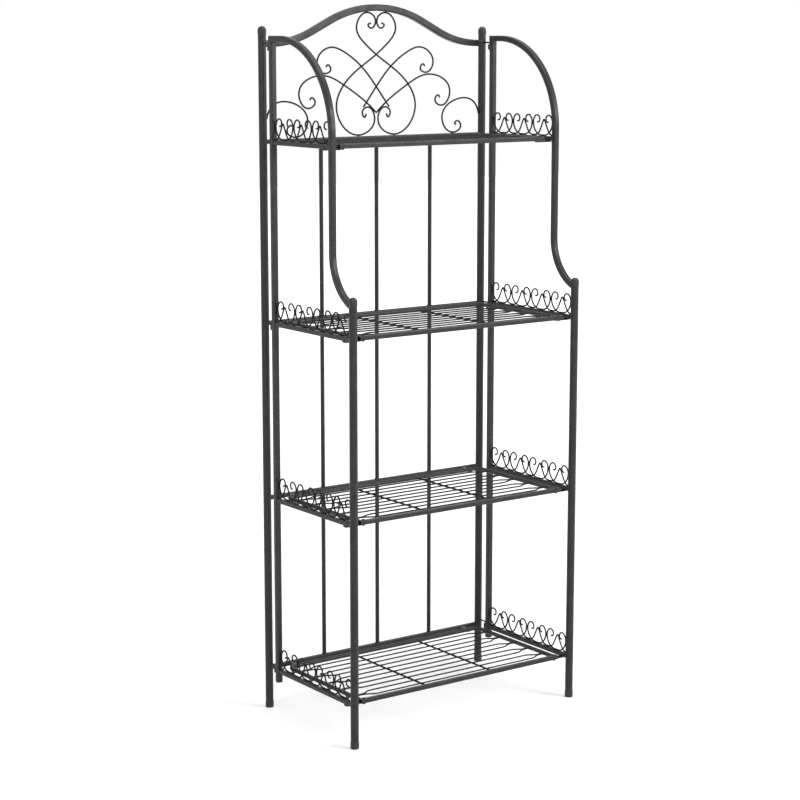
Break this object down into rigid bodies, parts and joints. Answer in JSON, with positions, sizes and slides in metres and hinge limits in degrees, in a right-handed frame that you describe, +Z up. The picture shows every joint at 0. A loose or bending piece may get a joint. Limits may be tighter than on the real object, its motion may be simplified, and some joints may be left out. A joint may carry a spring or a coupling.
{
  "type": "folding bakers rack",
  "caption": "Open metal bakers rack with wire shelves, scroll back panel under an arched crest, curved side frames and scrolled side galleries.",
  "frame": {"origin": "centre of the footprint at floor level", "axes": "+Z up, front faces -Y, +X to the right seen from the front"},
  "size_m": [0.6294, 0.3674, 1.6],
  "materials": {
    "dark_metal": "matte charcoal powder coat with faint pewter mottling",
    "end_cap": "matte"
  },
  "bodies": {
    "back_frame": {"back_left_caps": "end_cap", "back_left_post": "dark_metal", "back_right_caps": "end_cap", "back_right_post": "dark_metal", "bottom_crossbar": "dark_metal", "left_corner_scroll": "dark_metal", "left_heart_scroll": "dark_metal", "left_hinge_pins": "dark_metal", "left_middle_scroll": "dark_metal", "left_upper_scroll": "dark_metal", "lower_crossbar": "dark_metal", "right_corner_scroll": "dark_metal", "right_heart_scroll": "dark_metal", "right_hinge_pins": "dark_metal", "right_middle_scroll": "dark_metal", "right_upper_scroll": "dark_metal", "shelf_straps": "dark_metal", "spindles": "dark_metal", "top_arch": "dark_metal", "top_crossbar": "dark_metal", "upper_crossbar": "dark_metal"},
    "left_side": {"left_rear_upright": "dark_metal", "left_curved_tube": "dark_metal", "left_front_post": "dark_metal", "left_front_caps": "end_cap", "left_side_rails": "dark_metal", "left_lower_galleries": "dark_metal", "left_top_gallery": "dark_metal", "left_hinge_knuckles": "dark_metal", "left_shelf_rests": "dark_metal"},
    "right_side": {"right_rear_upright": "dark_metal", "right_curved_tube": "dark_metal", "right_front_post": "dark_metal", "right_front_caps": "end_cap", "right_side_rails": "dark_metal", "right_lower_galleries": "dark_metal", "right_top_gallery": "dark_metal", "right_hinge_knuckles": "dark_metal", "right_shelf_rests": "dark_metal"},
    "bottom_shelf": {"bottom_shelf_frame": "dark_metal", "bottom_front_rail": "dark_metal", "bottom_deck_wires": "dark_metal", "bottom_cross_rods": "dark_metal", "bottom_corner_buttons": "dark_metal"},
    "lower_shelf": {"lower_shelf_frame": "dark_metal", "lower_front_rail": "dark_metal", "lower_deck_wires": "dark_metal", "lower_cross_rods": "dark_metal", "lower_corner_buttons": "dark_metal"},
    "upper_shelf": {"upper_shelf_frame": "dark_metal", "upper_front_rail": "dark_metal", "upper_deck_wires": "dark_metal", "upper_cross_rods": "dark_metal", "upper_corner_buttons": "dark_metal"},
    "top_shelf": {"top_shelf_frame": "dark_metal", "top_front_rail": "dark_metal", "top_deck_wires": "dark_metal", "top_cross_rods": "dark_metal", "top_corner_buttons": "dark_metal"}
  },
  "joints": [
    {"name": "left_side_swing", "type": "hinge", "parent": "back_frame", "child": "left_side", "pos_m": [-0.305, 0.1435, 0], "axis": [0, 0, -1], "range_deg": [0, 90]},
    {"name": "right_side_swing", "type": "hinge", "parent": "back_frame", "child": "right_side", "pos_m": [0.305, 0.1435, 0], "axis": [0, 0, 1], "range_deg": [0, 90]},
    {"name": "bottom_shelf_fold", "type": "hinge", "parent": "back_frame", "child": "bottom_shelf", "pos_m": [0, 0.138, 0.098], "axis": [-1, 0, 0], "range_deg": [0, 88]},
    {"name": "lower_shelf_fold", "type": "hinge", "parent": "back_frame", "child": "lower_shelf", "pos_m": [0, 0.138, 0.49867], "axis": [-1, 0, 0], "range_deg": [0, 88]},
    {"name": "upper_shelf_fold", "type": "hinge", "parent": "back_frame", "child": "upper_shelf", "pos_m": [0, 0.138, 0.89933], "axis": [-1, 0, 0], "range_deg": [0, 88]},
    {"name": "top_shelf_fold", "type": "hinge", "parent": "back_frame", "child": "top_shelf", "pos_m": [0, 0.138, 1.3], "axis": [-1, 0, 0], "range_deg": [0, 88]}
  ]
}
